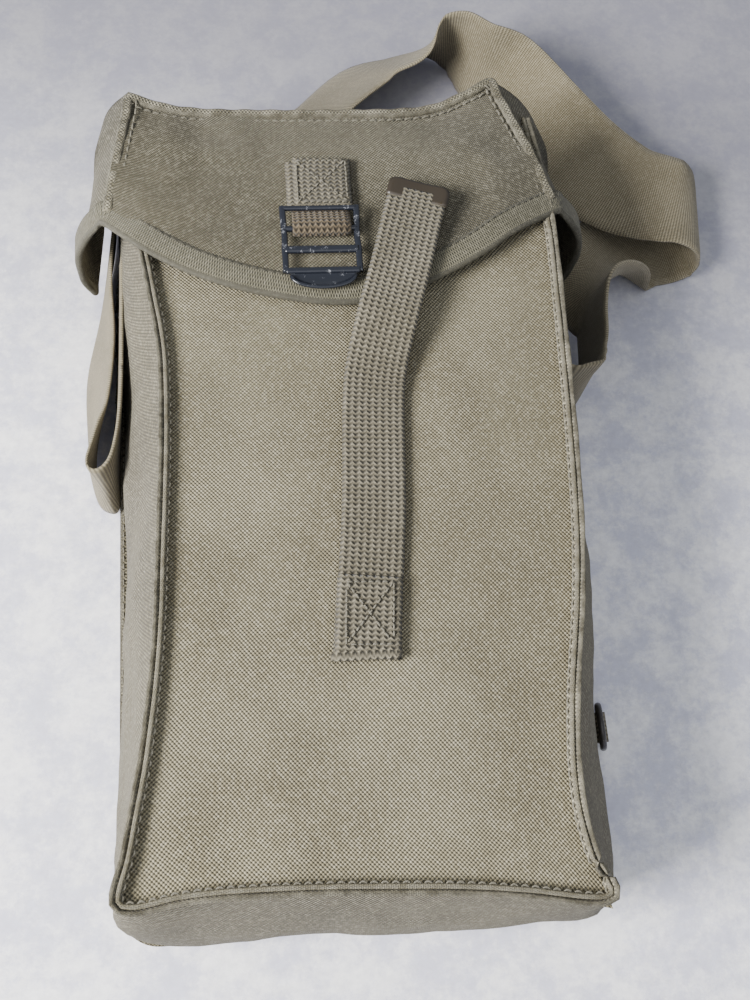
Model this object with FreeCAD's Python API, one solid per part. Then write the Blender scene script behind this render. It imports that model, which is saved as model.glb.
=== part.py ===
import FreeCAD, Part
import math
import os

# A filled canvas carrying bag lying on its back, in millimetres.
# +X is across the bag, +Y runs up to its flap, +Z comes out of its front.
# The origin is the middle of the back panel's outer face, on the surface it rests on.

# Canvas body
canvas = 1.6                 # thickness of one turned and sewn layer of canvas
bag_depth = 88.0             # back panel to front panel
back_length = 348.0          # back panel, bottom seam to the fold of the flap
front_width = 164.0          # front panel between its side seams
side_flare = 20.0            # each side stands out this much further at the back
bottom_slope = 8.0           # the front's bottom seam sits this far up from the back's
bottom_swell = 8.0           # the filled bottom bulges this much at mid depth
corner_radius = 14.0         # the gusset's turn at each bottom corner
front_turn = 5.0             # turned edges that stand up along the front seam
back_turn = 3.0              # turned edges that lie outward along the back seam
mouth_setback = 10.0         # mouth's edge to the fold of the flap
thread = 0.6                 # thickness of a run of stitching

# Flap, a shallow box lid
lid_rise = 2.0               # lid's underside above the turned front seam
fold_play = 1.0              # slack in the canvas at the fold
lid_play_low = 8.0           # lid stands off the bag's sides by this much: at the table
lid_play_mid = 8.0           # ... at mid depth
lid_play_high = 2.0          # ... and at the front
ear_spread_low = 6.0         # the ears spread this much more at their free edge: low
ear_spread_mid = 14.0        # ... at mid depth
ear_spread_high = 14.0       # ... and at the front
ear_length = 61.0            # fold to the ears' free edge
ear_lift = 22.0              # the ears stop this far above the table
corner_notch = 56.0          # the lid's corners are open up to here for the shoulder strap
notch_half = 96.0            # half width of the lid between its open corners
notch_start = 160.0          # the open corners start here
flap_drop = 107.0            # fold to the lowest point of the flap's curved edge
hem_width = 12.0
hem_cloth = 0.8              # thickness of the binding on each side of the edge
ridge_width = 4.0            # raised seam round the flap's front
ridge_height = 2.0

# Buckle and its tab
web = 1.8                    # thickness of one layer of narrow webbing
tab_width = 25.4
tab_centre = -9.2
tab_drop = 38.0              # fold to the tab's upper edge
tab_length = 24.5            # sewn part of the tab
tab_stagger = 3.0            # the tab's two layers lie beside each other by this much
frame_play = 2.6             # the tab's loop is narrower than the buckle's inside by this
frame_centre = -9.8
side_bar = 2.8               # width of the buckle's side members
frame_gauge = 2.0            # thickness of the buckle's metal
keeper_gap = 1.4             # stitching to the buckle's top bar
keeper_bar = 2.0             # top bar, over the tab
loop_bar_radius = 1.4        # bar inside the tab's loop
loop_bar_drop = 11.5         # stitching to that bar
middle_bar = 3.4
middle_bar_drop = 21.9       # stitching to the middle bar's centre
lower_bar = 2.6
lower_bar_drop = 31.8
lip_reach = 7.6              # curved thumb lip below the lower bar
lip_side = 3.2               # the lip stops this far inside the frame's sides
bar_play = 0.08              # loop's hole round its bar
hinge_play = 0.3             # gap in the fabric at a fold that moves

# Closing strap
strap_width = 25.4
strap_gauge = 1.9
strap_play = 0.4             # free strap above the front panel
sewn_drop = 224.0            # fold to the upper edge of the sewn end, where the strap lifts
sewn_length = 32.0
tip_length = 8.0
tip_wall = 0.7
# centre line of the free strap: across, up from the fold, height as a share of the flap's
strap_line = [(1.0, hinge_play - sewn_drop, 0.0), (4.4, -194.0, 0.02), (7.6, -150.0, 0.09),
              (10.6, -132.0, 0.42), (15.6, -115.0, 1.15), (19.2, -104.0, 1.3),
              (23.6, -90.0, 1.46), (28.6, -73.0, 1.58), (33.4, -57.0, 1.65)]

# Shoulder strap
shoulder_width = 50.8
shoulder_gauge = 2.0
patch_drop = 54.0            # fold to the upper edge of the ends sewn on the bag's sides
patch_length = 58.0
sewn_gap = 0.05              # needle room between a sewn end and the canvas under it
patch_floor = 5.0            # their height above the table
strap_level = 30.8           # height of the middle of the sewn ends
strap_spread = 99.55         # half width of the bag there that the places below are given for

# middle of the shoulder strap, across the bag, up from the fold and above the table,
# and the direction across its width, from end to end
shoulder_line = [((-100.9, -111.5, 30.8), (8, 0, 50)), ((-101.6, -132, 30.8), (7.5, 0, 50)),
                 ((-101.9, -144, 30.8), (7, 0, 50)), ((-103, -153, 30.4), (6, 0, 50)),
                 ((-105.8, -158.6, 29.4), (6, 0, 50)), ((-109, -160, 28), (7, 0, 50)),
                 ((-111.4, -157, 26.6), (9, 0, 49)), ((-112, -148, 25.6), (11, 0, 49)),
                 ((-111.6, -129, 25.4), (13, 0, 48.5)), ((-111.4, -94, 25.4), (12, 0, 49)),
                 ((-108.4, -59, 26), (8, 0, 50)), ((-104.2, -24, 26.2), (7, 0, 50)),
                 ((-103.4, 2, 26.2), (7, 0, 50)), ((-98.5, 14, 25.8), (5, 6, 50)),
                 ((-88, 22, 23.5), (2, 22, 44)), ((-74, 28, 15), (0, 42, 28)),
                 ((-58, 32, 3.5), (0, 50, 3)), ((-40, 35, 3.5), (-2, 50, -3)),
                 ((-22, 41, 8.5), (-12, 44, -14)), ((-3, 51.5, 17.2), (-25.5, 29, -33)),
                 ((26, 78, 18), (-27, 30, -33)), ((49, 97, 20.5), (-20, 32, -39)),
                 ((62, 105, 23), (-12, 26, -43)), ((72, 107, 25), (-3, 12, -48)),
                 ((81, 102, 25), (-4, 2, -48)), ((90, 90, 25), (-12, -2, -47)),
                 ((102, 71, 23.5), (-20, -12, -43)),
                 ((121, 42, 21), (-28, -22, -34)), ((139, 18, 20), (-26, -36, -24)),
                 ((158, 0, 22), (-18, -46, -12)), ((176, -9, 26), (-8, -50, -3)),
                 ((184, -12.4, 27), (-6, -50, 0)), ((190.5, -14.5, 24.4), (-6, -50, 0)),
                 ((195, -15.6, 18.5), (-6, -50, 0)), ((195.6, -16, 11.5), (-6, -50, 0)),
                 ((192, -17, 4.9), (-6, -50, 0)),
                 ((185, -18, 1.4), (-4, -50, 0)), ((166, -22, 1.4), (-2, -50, 0)),
                 ((149, -32, 5.6), (12, -46, 8)), ((136, -52, 19.5), (22, -26, 36)),
                 ((129, -70, 26.2), (4, -4, 50)), ((126.5, -84, 26.4), (0, 0, 50)),
                 ((124.4, -100, 26.4), (0, 0, 50)), ((121, -110.4, 26.8), (0, 0, 50)),
                 ((116, -116.4, 28.4), (0, 0, 50)), ((110.6, -118.4, 30), (0, 0, 50)),
                 ((105.6, -118.4, 30.8), (-5, 0, 50)), ((102.4, -115.4, 30.8), (-7, 0, 50)),
                 ((100.9, -111.5, 30.8), (-8, 0, 50))]

# D-ring on the right of the back seam
ring_rise = 73.0             # bottom seam to the ring
ring_wire = 1.5
ring_half = 9.0
ring_straight = 4.0
ring_stand = 5.0             # the ring's straight side stands this far out from the seam
ring_play = 0.1
ring_lean = 105.0            # the ring leans back against the bag, degrees from flat
ring_web = 1.2
ring_tab_width = 13.0

# Places that follow from the sizes
top = back_length / 2
mouth = top - mouth_setback
front_top = bag_depth + front_turn
lid_under = front_top + lid_rise
lid_top = lid_under + canvas
lid_foot = canvas + 0.6
ear_edge = top - ear_length
frame_width = tab_width + 2 * side_bar + frame_play
tab_top = top - tab_drop
stitch_low = tab_top - tab_length
sewn_high = top - sewn_drop
sewn_low = sewn_high - sewn_length
patch_high = top - patch_drop
patch_low = patch_high - patch_length
ring_height = ring_rise - top
reach = 400.0                # larger than any piece, for the solids that cut others


def bag_half(height):
    """Half width of the bag's outside at a height above the table."""
    share = height / bag_depth
    return front_width / 2 + side_flare * (1 - share * share)


def bag_low(height):
    """Where the bag's bottom end is at a height above the table."""
    share = height / bag_depth
    return -top + bottom_slope * share - bottom_swell * 4 * share * (1 - share)


def slab(low, high):
    """Everything between two heights."""
    return box(-reach, reach, -reach, reach, low, high)


def box(x0, x1, y0, y1, z0, z1):
    return Part.makeBox(x1 - x0, y1 - y0, z1 - z0, FreeCAD.Vector(x0, y0, z0))


def bag_outline(height, inset, end):
    """Outline of the bag at a height: two round bottom corners, straight across at end."""
    half = bag_half(height) - inset
    low = bag_low(height) + inset
    turn = corner_radius - inset
    slant = turn * (1 - math.sqrt(0.5))
    left_top = FreeCAD.Vector(-half, end, height)
    left_low = FreeCAD.Vector(-half, low + turn, height)
    left_turn = FreeCAD.Vector(-half + slant, low + slant, height)
    bottom_left = FreeCAD.Vector(-half + turn, low, height)
    bottom_right = FreeCAD.Vector(half - turn, low, height)
    right_turn = FreeCAD.Vector(half - slant, low + slant, height)
    right_low = FreeCAD.Vector(half, low + turn, height)
    right_top = FreeCAD.Vector(half, end, height)
    return Part.Wire([Part.LineSegment(left_top, left_low).toShape(),
                      Part.Arc(left_low, left_turn, bottom_left).toShape(),
                      Part.LineSegment(bottom_left, bottom_right).toShape(),
                      Part.Arc(bottom_right, right_turn, right_low).toShape(),
                      Part.LineSegment(right_low, right_top).toShape(),
                      Part.LineSegment(right_top, left_top).toShape()])


def bag_loft(inset, end):
    """The bag's outside, moved in by inset and open past end."""
    heights = [bag_depth * step / 3 for step in range(4)]
    return Part.makeLoft([bag_outline(height, inset, end) for height in heights], True, False)


def bag_prism(height, inset, end, low, high):
    """A straight block on the bag's outline at one height."""
    outline = bag_outline(height, inset, end)
    outline.translate(FreeCAD.Vector(0, 0, low - height))
    return Part.Face(outline).extrude(FreeCAD.Vector(0, 0, high - low))


def bag_rim(height, inner, outer, low, high):
    """A rim between two insets of the outline, open at the mouth."""
    rim = bag_prism(height, outer, mouth, low, high)
    return rim.cut(bag_prism(height, inner, mouth + 5, low - 1, high + 1))


def slab(low, high):
    """Everything between two heights."""
    return box(-reach, reach, -reach, reach, low, high)


def box(x0, x1, y0, y1, z0, z1):
    return Part.makeBox(x1 - x0, y1 - y0, z1 - z0, FreeCAD.Vector(x0, y0, z0))


def bag_outline(height, inset, end):
    """Outline of the bag at a height: two round bottom corners, straight across at end."""
    half = bag_half(height) - inset
    low = bag_low(height) + inset
    turn = corner_radius - inset
    slant = turn * (1 - math.sqrt(0.5))
    left_top = FreeCAD.Vector(-half, end, height)
    left_low = FreeCAD.Vector(-half, low + turn, height)
    left_turn = FreeCAD.Vector(-half + slant, low + slant, height)
    bottom_left = FreeCAD.Vector(-half + turn, low, height)
    bottom_right = FreeCAD.Vector(half - turn, low, height)
    right_turn = FreeCAD.Vector(half - slant, low + slant, height)
    right_low = FreeCAD.Vector(half, low + turn, height)
    right_top = FreeCAD.Vector(half, end, height)
    return Part.Wire([Part.LineSegment(left_top, left_low).toShape(),
                      Part.Arc(left_low, left_turn, bottom_left).toShape(),
                      Part.LineSegment(bottom_left, bottom_right).toShape(),
                      Part.Arc(bottom_right, right_turn, right_low).toShape(),
                      Part.LineSegment(right_low, right_top).toShape(),
                      Part.LineSegment(right_top, left_top).toShape()])


def bag_loft(inset, end):
    """The bag's outside, moved in by inset and open past end."""
    heights = [bag_depth * step / 3 for step in range(4)]
    return Part.makeLoft([bag_outline(height, inset, end) for height in heights], True, False)


def bag_prism(height, inset, end, low, high):
    """A straight block on the bag's outline at one height."""
    outline = bag_outline(height, inset, end)
    outline.translate(FreeCAD.Vector(0, 0, low - height))
    return Part.Face(outline).extrude(FreeCAD.Vector(0, 0, high - low))


def bag_rim(height, inner, outer, low, high):
    """A rim between two insets of the outline, open at the mouth."""
    rim = bag_prism(height, outer, mouth, low, high)
    return rim.cut(bag_prism(height, inner, mouth + 5, low - 1, high + 1))


def lift_heel(shape):
    """Clear the space below the raised top of the back."""
    return shape.cut(box(-reach, reach, heel_start, reach, -1, heel_rise))


def lid_half(height, low, middle, high):
    """A lid width that runs smoothly through three given widths."""
    share = (height - lid_foot) / (lid_top - lid_foot)
    rising = 2 * share * share - share
    falling = 2 * share * share - 3 * share + 1
    return low * falling + middle * 4 * share * (1 - share) + high * rising


def lid_outline(height, inset):
    """Outline of the lid at a height, wider at the ears' free edge than at the fold."""
    middle = (lid_foot + lid_top) / 2
    low_half = bag_half(lid_foot) + lid_play_low
    middle_half = bag_half(middle) + lid_play_mid
    high_half = front_width / 2 + lid_play_high
    fold = lid_half(height, low_half, middle_half, high_half) - inset
    spread = lid_half(height, ear_spread_low, ear_spread_mid, ear_spread_high)
    points = [(-fold, top - inset), (-fold - spread, ear_edge), (-fold - spread, 0),
              (fold + spread, 0), (fold + spread, ear_edge), (fold, top - inset)]
    corners = [FreeCAD.Vector(x, y, height) for x, y in points]
    return Part.makePolygon(corners + corners[:1])


def lid_loft(inset):
    heights = [lid_foot, (lid_foot + lid_top) / 2, lid_top]
    return Part.makeLoft([lid_outline(height, inset) for height in heights], True, False)


def flap_region(shift, low, high):
    """All that lies up the bag from the flap's curved edge, moved up by shift."""
    half = front_width / 2 + lid_play_high + ear_spread_high
    left = FreeCAD.Vector(-half, ear_edge + shift, low)
    dip = FreeCAD.Vector(0, top - flap_drop + shift, low)
    right = FreeCAD.Vector(half, ear_edge + shift, low)
    far_left = FreeCAD.Vector(-half - 40, ear_edge + shift, low)
    far_right = FreeCAD.Vector(half + 40, ear_edge + shift, low)
    up = FreeCAD.Vector(0, ear_length + 60, 0)
    outline = Part.Wire([Part.LineSegment(far_left, left).toShape(),
                         Part.Arc(left, dip, right).toShape(),
                         Part.LineSegment(right, far_right).toShape(),
                         Part.LineSegment(far_right, far_right + up).toShape(),
                         Part.LineSegment(far_right + up, far_left + up).toShape(),
                         Part.LineSegment(far_left + up, far_left).toShape()])
    return Part.Face(outline).extrude(FreeCAD.Vector(0, 0, high - low))


def section_corners(middle, across, through):
    """Corners of a rectangle round a point, given its half width and half thickness."""
    return [middle - across - through, middle + across - through,
            middle + across + through, middle - across + through]


def section(middle, across, through):
    corners = section_corners(middle, across, through)
    return Part.makePolygon(corners + corners[:1])


def face_of(*corners):
    return Part.Face(Part.makePolygon(list(corners) + [corners[0]]))


def folded_band(sections):
    """A solid through rectangles given by their corners, with flat facets between them."""
    faces = [face_of(*sections[0]), face_of(*sections[-1])]
    for near, far in zip(sections, sections[1:]):
        for index in range(4):
            after = (index + 1) % 4
            faces.append(face_of(near[index], near[after], far[after]))
            faces.append(face_of(near[index], far[after], far[index]))
    return Part.Solid(Part.makeShell(faces))


def box_stitch(low, high, left, right, height):
    """A stitched box with a cross in it, as one run of thread."""
    runs = [box(left, right, low, low + thread, height, height + thread),
            box(left, right, high - thread, high, height, height + thread),
            box(left, left + thread, low, high, height, height + thread),
            box(right - thread, right, low, high, height, height + thread)]
    length = math.hypot(right - left, high - low) - 2 * thread
    slope = math.degrees(math.atan2(high - low, right - left))
    centre = FreeCAD.Vector((left + right) / 2, (low + high) / 2, height)
    for angle in (slope, -slope):
        cross = box(-length / 2, length / 2, -thread / 2, thread / 2, 0, thread)
        cross.rotate(FreeCAD.Vector(0, 0, 0), FreeCAD.Vector(0, 0, 1), angle)
        cross.translate(centre)
        runs.append(cross)
    return runs[0].multiFuse(runs[1:])


def make_back_panel():
    return bag_prism(0, -back_turn, mouth, 0, canvas).fuse(bag_prism(0, 0, top, 0, canvas))


def make_front_panel():
    sheet = bag_loft(canvas, mouth).common(slab(bag_depth - canvas, bag_depth))
    return sheet.fuse(bag_rim(bag_depth, 2 * canvas, canvas, bag_depth, front_top))


def make_gusset():
    inside = bag_loft(canvas, mouth + 5)
    wall = bag_loft(0, mouth).cut(inside).common(slab(canvas, bag_depth))
    flange = bag_prism(0, -back_turn, mouth, canvas, 2 * canvas).cut(inside)
    lip = bag_rim(bag_depth, canvas, 0, bag_depth, front_top)
    return wall.fuse(flange).fuse(lip)


def make_front_seam_thread():
    inner = 2 * canvas + thread
    return bag_rim(bag_depth, inner, 2 * canvas, bag_depth + 1, bag_depth + 1 + thread)


def make_back_seam_thread():
    inner = -back_turn / 2
    return bag_rim(0, inner, inner - thread, 2 * canvas, 2 * canvas + thread)


def make_mouth_hem_thread():
    low = mouth - 9
    inner = front_width / 2 - 2 * canvas - thread
    front = box(-inner, inner, low, low + thread, bag_depth, bag_depth + thread)
    band = bag_loft(-thread, mouth).cut(bag_loft(0, mouth + 5))
    sides = band.common(box(-reach, reach, low, low + thread, 12, bag_depth - 1))
    return Part.makeCompound([front] + sides.Solids)


def make_flap_front():
    sheet = lid_loft(0).common(slab(lid_under, lid_top)).common(flap_region(0, 0, reach))
    ring = Part.Face(lid_outline(lid_top, 0)).cut(Part.Face(lid_outline(lid_top, ridge_width)))
    ridge = ring.extrude(FreeCAD.Vector(0, 0, ridge_height))
    ridge = ridge.common(flap_region(hem_width + hem_cloth, 0, reach))
    return sheet.fuse(ridge)


def make_flap_strip():
    walls = lid_loft(0).cut(lid_loft(canvas)).common(slab(lid_foot, lid_under))
    walls = walls.common(box(-reach, reach, ear_edge, reach, 0, reach))
    under_ears = box(-reach, reach, -reach, top - 3 * canvas, 0, ear_lift)
    corners = box(-reach, reach, -reach, reach, 0, corner_notch)
    corners = corners.cut(box(-notch_half, notch_half, -reach, reach, -1, reach))
    corners = corners.common(box(-reach, reach, notch_start, reach, -1, reach))
    return walls.cut(under_ears).cut(corners)


def make_flap_hem(front, strip):
    band = flap_region(-hem_cloth, 0, reach).cut(flap_region(hem_width, 0, reach))
    outside = lid_outline(lid_top, -hem_cloth)
    outside.translate(FreeCAD.Vector(0, 0, -canvas - hem_cloth))
    lid_cover = Part.Face(outside).extrude(FreeCAD.Vector(0, 0, canvas + 2 * hem_cloth))
    shell = lid_loft(-hem_cloth).cut(lid_loft(canvas + hem_cloth))
    shell = shell.common(slab(ear_lift, lid_under - hem_cloth))
    shell = shell.common(box(-reach, reach, ear_edge - hem_cloth, ear_edge + hem_width, 0, reach))
    hem = lid_cover.common(band).fuse(shell)
    return hem.cut(front).cut(strip)


def make_flap_seam_thread():
    outer = Part.Face(lid_outline(lid_top, ridge_width))
    inner = Part.Face(lid_outline(lid_top, ridge_width + thread))
    run = outer.cut(inner).extrude(FreeCAD.Vector(0, 0, thread))
    return run.common(flap_region(hem_width + hem_cloth, 0, reach))


def make_flap_hem_thread():
    line = flap_region(hem_width - 1.5, 0, reach).cut(flap_region(hem_width - 1.5 + thread, 0, reach))
    level = lid_top + hem_cloth
    half = front_width / 2 + lid_play_high + 4
    return line.common(box(-half, half, -reach, reach, level, level + thread))


def make_buckle_tab():
    left = tab_centre - tab_width / 2
    lower = box(left - tab_stagger / 2, left - tab_stagger / 2 + tab_width,
                stitch_low, tab_top, lid_top, lid_top + web)
    upper = box(left + tab_stagger / 2, left + tab_stagger / 2 + tab_width,
                stitch_low, tab_top, lid_top + web, lid_top + 2 * web)
    return lower.fuse(upper)


def make_buckle_tab_thread():
    half = tab_width / 2 - 2
    return box_stitch(stitch_low + 1.2, tab_top - 1.2, tab_centre - half, tab_centre + half,
                      lid_top + 2 * web)


def loop_centre():
    """Axis of the tab's loop: how far up the bag, and how high."""
    return stitch_low - loop_bar_drop, lid_top + hinge_play + loop_bar_radius + bar_play + web


def cylinder_across(radius, length, centre_x, place, height):
    start = FreeCAD.Vector(centre_x - length / 2, place, height)
    return Part.makeCylinder(radius, length, start, FreeCAD.Vector(1, 0, 0))


def make_buckle_tab_loop():
    place, height = loop_centre()
    left = tab_centre - tab_width / 2
    eye = cylinder_across(loop_bar_radius + bar_play + web, tab_width, tab_centre, place, height)
    floor = height - loop_bar_radius - bar_play - web
    legs = box(left, left + tab_width, place, stitch_low - hinge_play, floor, floor + 2 * web)
    hole = cylinder_across(loop_bar_radius + bar_play, tab_width + 2, tab_centre, place, height)
    return eye.fuse(legs).cut(hole)


def make_buckle():
    place, height = loop_centre()
    left = frame_centre - frame_width / 2
    right = left + frame_width
    low = height - frame_gauge / 2
    high = height + frame_gauge / 2
    top_bar = stitch_low - keeper_gap
    keeper_floor = lid_top + hinge_play + 2 * web + hinge_play
    lower = stitch_low - lower_bar_drop
    middle = stitch_low - middle_bar_drop
    pieces = [box(left, right, top_bar - keeper_bar, top_bar, keeper_floor,
                  keeper_floor + frame_gauge),
              cylinder_across(loop_bar_radius, frame_width - side_bar, frame_centre, place, height),
              box(left, right, middle - middle_bar / 2, middle + middle_bar / 2, low, high),
              box(left, right, lower - lower_bar / 2, lower + lower_bar / 2, low, high)]
    for side in (left, right - side_bar):
        pieces.append(box(side, side + side_bar, lower, top_bar, low, high))
        pieces.append(box(side, side + side_bar, top_bar - 2 * keeper_bar, top_bar, low,
                          keeper_floor + frame_gauge))
    edge = lower - lower_bar / 2
    lip_left = FreeCAD.Vector(left + lip_side, edge, low)
    lip_low = FreeCAD.Vector(frame_centre, edge - lip_reach, low)
    lip_right = FreeCAD.Vector(right - lip_side, edge, low)
    outline = Part.Wire([Part.Arc(lip_left, lip_low, lip_right).toShape(),
                         Part.LineSegment(lip_right, lip_left).toShape()])
    pieces.append(Part.Face(outline).extrude(FreeCAD.Vector(0, 0, frame_gauge)))
    return pieces[0].multiFuse(pieces[1:])


def strap_sections(line, gauge, width):
    """Sections along a strap that lies flat, each square to the line in plan."""
    sections = []
    rise = lid_top - bag_depth
    for index, (x, y, lift) in enumerate(line):
        before = line[max(index - 1, 0)]
        after = line[min(index + 1, len(line) - 1)]
        angle = math.atan2(after[0] - before[0], after[1] - before[1]) if index else 0.0
        height = bag_depth + strap_play + lift * rise + gauge / 2
        across = FreeCAD.Vector(math.cos(angle), -math.sin(angle), 0) * (width / 2)
        through = FreeCAD.Vector(0, 0, gauge / 2)
        sections.append(section(FreeCAD.Vector(x, top + y, height), across, through))
    return sections


def make_closing_strap():
    return Part.makeLoft(strap_sections(strap_line, strap_gauge, strap_width), True, True)


def make_strap_tip(strap):
    """Folded metal tip on the end of the strap."""
    x0, y0, lift0 = strap_line[-2]
    x1, y1, lift1 = strap_line[-1]
    share = tip_length / math.hypot(x1 - x0, y1 - y0)
    rise = lid_top - bag_depth
    run = FreeCAD.Vector(x1 - x0, y1 - y0, (lift1 - lift0) * rise)
    height = bag_depth + strap_play + strap_gauge / 2
    end = FreeCAD.Vector(x1, top + y1, height + lift1 * rise) + run * (tip_wall / run.Length)
    start = end - run * share
    across = FreeCAD.Vector(y1 - y0, x0 - x1, 0).normalize() * (strap_width / 2 + tip_wall)
    through = FreeCAD.Vector(0, 0, strap_gauge / 2 + tip_wall)
    cap = Part.makeLoft([section(start, across, through), section(end, across, through)], True, True)
    return cap.cut(strap)


def make_closing_strap_end():
    """The sewn end, folded under so that it is two layers thick."""
    middle = bag_depth + strap_gauge
    through = FreeCAD.Vector(0, 0, strap_gauge)
    across = FreeCAD.Vector(strap_width / 2, 0, 0)
    low = section(FreeCAD.Vector(-3.0, sewn_low, middle), across, through)
    high = section(FreeCAD.Vector(strap_line[0][0], sewn_high, middle), across, through)
    return Part.makeLoft([low, high], True, True)


def make_closing_strap_thread():
    half = strap_width / 2 - 3
    return box_stitch(sewn_low + 5, sewn_high - 1, -half, half, bag_depth + 2 * strap_gauge)


def make_strap_patch(side):
    """An end of the shoulder strap where it is sewn to the bag's side."""
    band = bag_loft(-shoulder_gauge, mouth).cut(bag_loft(-sewn_gap, mouth + 5))
    x0, x1 = sorted((side * 20, side * reach))
    high = patch_floor + shoulder_width
    return band.common(box(x0, x1, patch_low, patch_high, patch_floor, high))


def make_patch_thread(side):
    """Three rows of stitching across a sewn end of the shoulder strap."""
    outside = shoulder_gauge + thread
    band = bag_loft(-outside, mouth).cut(bag_loft(-shoulder_gauge, mouth + 5))
    x0, x1 = sorted((side * 20, side * reach))
    low = patch_floor + 2
    high = patch_floor + shoulder_width - 2
    rows = [patch_low + 4, (patch_low + patch_high) / 2, patch_high - 4]
    return [solid for row in rows
            for solid in band.common(box(x0, x1, row, row + thread, low, high)).Solids]


def between(values, share):
    """A smooth curve through four neighbouring values, from the second to the third."""
    before, first, second, after = values
    slope = (second - before) / 2
    end_slope = (after - first) / 2
    bend = 3 * (second - first) - 2 * slope - end_slope
    twist = 2 * (first - second) + slope + end_slope
    return first + slope * share + bend * share ** 2 + twist * share ** 3


def smooth_line(line, steps):
    """Add stations between those given, on a smooth curve through them."""
    stations = []
    last = len(line) - 1
    for index in range(last):
        near = [line[min(max(index + offset, 0), last)] for offset in (-1, 0, 1, 2)]
        for step in range(steps):
            share = step / steps
            middle = [between([station[0][axis] for station in near], share) for axis in range(3)]
            across = [between([station[1][axis] for station in near], share) for axis in range(3)]
            stations.append((middle, across))
    return stations + [line[-1]]


def ribbon(line):
    """Webbing along a line of stations, each a middle point and the way across the width."""
    sections = []
    spread = bag_half(strap_level) / strap_spread
    for index, (middle, across) in enumerate(line):
        before = FreeCAD.Vector(*line[max(index - 1, 0)][0])
        after = FreeCAD.Vector(*line[min(index + 1, len(line) - 1)][0])
        run = (after - before).normalize()
        width = FreeCAD.Vector(*across)
        width = (width - run * width.dot(run)).normalize() * (shoulder_width / 2)
        through = run.cross(width).normalize() * (shoulder_gauge / 2)
        place = FreeCAD.Vector(middle[0] * spread, middle[1] + top, middle[2])
        lowest = min(corner.z for corner in section_corners(place, width, through))
        place.z += max(0, strap_play / 2 - lowest)
        sections.append(section_corners(place, width, through))
    return sections


def make_shoulder_strap():
    strap = folded_band(ribbon(smooth_line(shoulder_line, 2)))
    return strap.fuse(make_strap_patch(-1)).fuse(make_strap_patch(1))


def make_ring_tab():
    """A loop of narrow webbing, sewn to the back seam, that holds a D-ring."""
    inner = ring_wire + ring_play
    outer = inner + ring_web
    seam = bag_half(0) + 0.5
    axis = seam + ring_stand
    low = 2 * canvas + thread
    height = low + ring_web
    start = FreeCAD.Vector(axis, ring_height - ring_tab_width / 2, height)
    along = FreeCAD.Vector(0, 1, 0)
    eye = Part.makeCylinder(outer, ring_tab_width, start, along)
    leg = box(seam, axis, ring_height - ring_tab_width / 2, ring_height + ring_tab_width / 2,
              low, low + 2 * ring_web)
    hole = Part.makeCylinder(inner, ring_tab_width + 2, start - along, along)
    return eye.fuse(leg).cut(hole)


def make_ring():
    """A wire D-ring whose straight side is the hinge."""
    axis = bag_half(0) + 0.5 + ring_stand
    height = 2 * canvas + thread + ring_web
    along = FreeCAD.Vector(0, 1, 0)
    out = FreeCAD.Vector(1, 0, 0)
    low = FreeCAD.Vector(0, -ring_half, 0)
    high = FreeCAD.Vector(0, ring_half, 0)
    bow = Part.makeTorus(ring_half, ring_wire, FreeCAD.Vector(ring_straight, 0, 0),
                         FreeCAD.Vector(0, 0, 1))
    bow = bow.common(box(ring_straight, reach, -reach, reach, -reach, reach))
    pieces = [bow, Part.makeCylinder(ring_wire, 2 * ring_half, low, along),
              Part.makeCylinder(ring_wire, ring_straight, low, out),
              Part.makeCylinder(ring_wire, ring_straight, high, out),
              Part.makeSphere(ring_wire, low), Part.makeSphere(ring_wire, high)]
    ring = pieces[0].multiFuse(pieces[1:])
    ring.rotate(FreeCAD.Vector(0, 0, 0), along, -ring_lean)
    ring.translate(FreeCAD.Vector(axis, ring_height, height))
    return ring


front_sheet = make_flap_front()
strip_sheet = make_flap_strip()
loose_strap = make_closing_strap()
parts = {
    "back_panel": make_back_panel(),
    "gusset": make_gusset(),
    "front_panel": make_front_panel(),
    "front_seam_thread": make_front_seam_thread(),
    "back_seam_thread": make_back_seam_thread(),
    "mouth_hem_thread": make_mouth_hem_thread(),
    "flap_front": front_sheet,
    "flap_strip": strip_sheet,
    "flap_hem": make_flap_hem(front_sheet, strip_sheet),
    "flap_seam_thread": make_flap_seam_thread(),
    "flap_hem_thread": make_flap_hem_thread(),
    "buckle_tab": make_buckle_tab(),
    "buckle_tab_thread": make_buckle_tab_thread(),
    "buckle_tab_loop": make_buckle_tab_loop(),
    "buckle": make_buckle(),
    "closing_strap_end": make_closing_strap_end(),
    "closing_strap_thread": make_closing_strap_thread(),
    "closing_strap": loose_strap,
    "strap_tip": make_strap_tip(loose_strap),
    "shoulder_strap": make_shoulder_strap(),
    "shoulder_strap_thread": Part.makeCompound(make_patch_thread(-1) + make_patch_thread(1)),
    "ring_tab": make_ring_tab(),
    "carry_ring": make_ring(),
}

os.makedirs("parts", exist_ok=True)
for name, shape in parts.items():
    shape.exportStep("parts/" + name + ".step")
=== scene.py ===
import math

import bpy
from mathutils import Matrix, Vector, noise


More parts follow.
